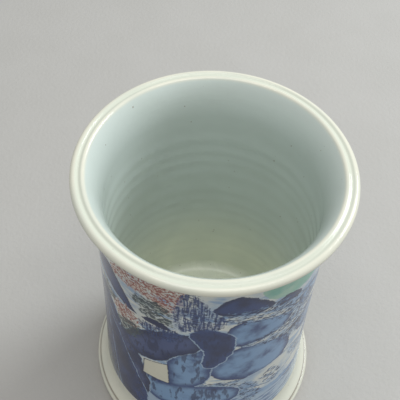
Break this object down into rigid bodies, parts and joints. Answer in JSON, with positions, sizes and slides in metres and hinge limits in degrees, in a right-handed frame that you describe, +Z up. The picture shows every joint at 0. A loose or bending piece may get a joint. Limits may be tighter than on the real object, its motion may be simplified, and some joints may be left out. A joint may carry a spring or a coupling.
{
  "type": "brush pot",
  "caption": "Tall waisted porcelain pot with an everted lip and a spreading foot, open at the top, for holding brushes upright.",
  "frame": {"origin": "centre of the circle that the foot stands on", "axes": "+Z up along the pot's axis; -Y towards the side that the picture shows; +X to the right in it"},
  "size_m": [0.1078, 0.1078, 0.146],
  "materials": {
    "white_glaze": "clear glossy glaze over white porcelain",
    "painted_glaze": "clear glossy glaze over a painted landscape in blues, greens and iron red",
    "foot_glaze": "clear glossy glaze, with an unglazed contact ring"
  },
  "bodies": {
    "root": {"foot_ring": "foot_glaze", "base_disc": "white_glaze", "wall_cylinder": "painted_glaze", "lip_ring": "white_glaze"}
  },
  "joints": []
}
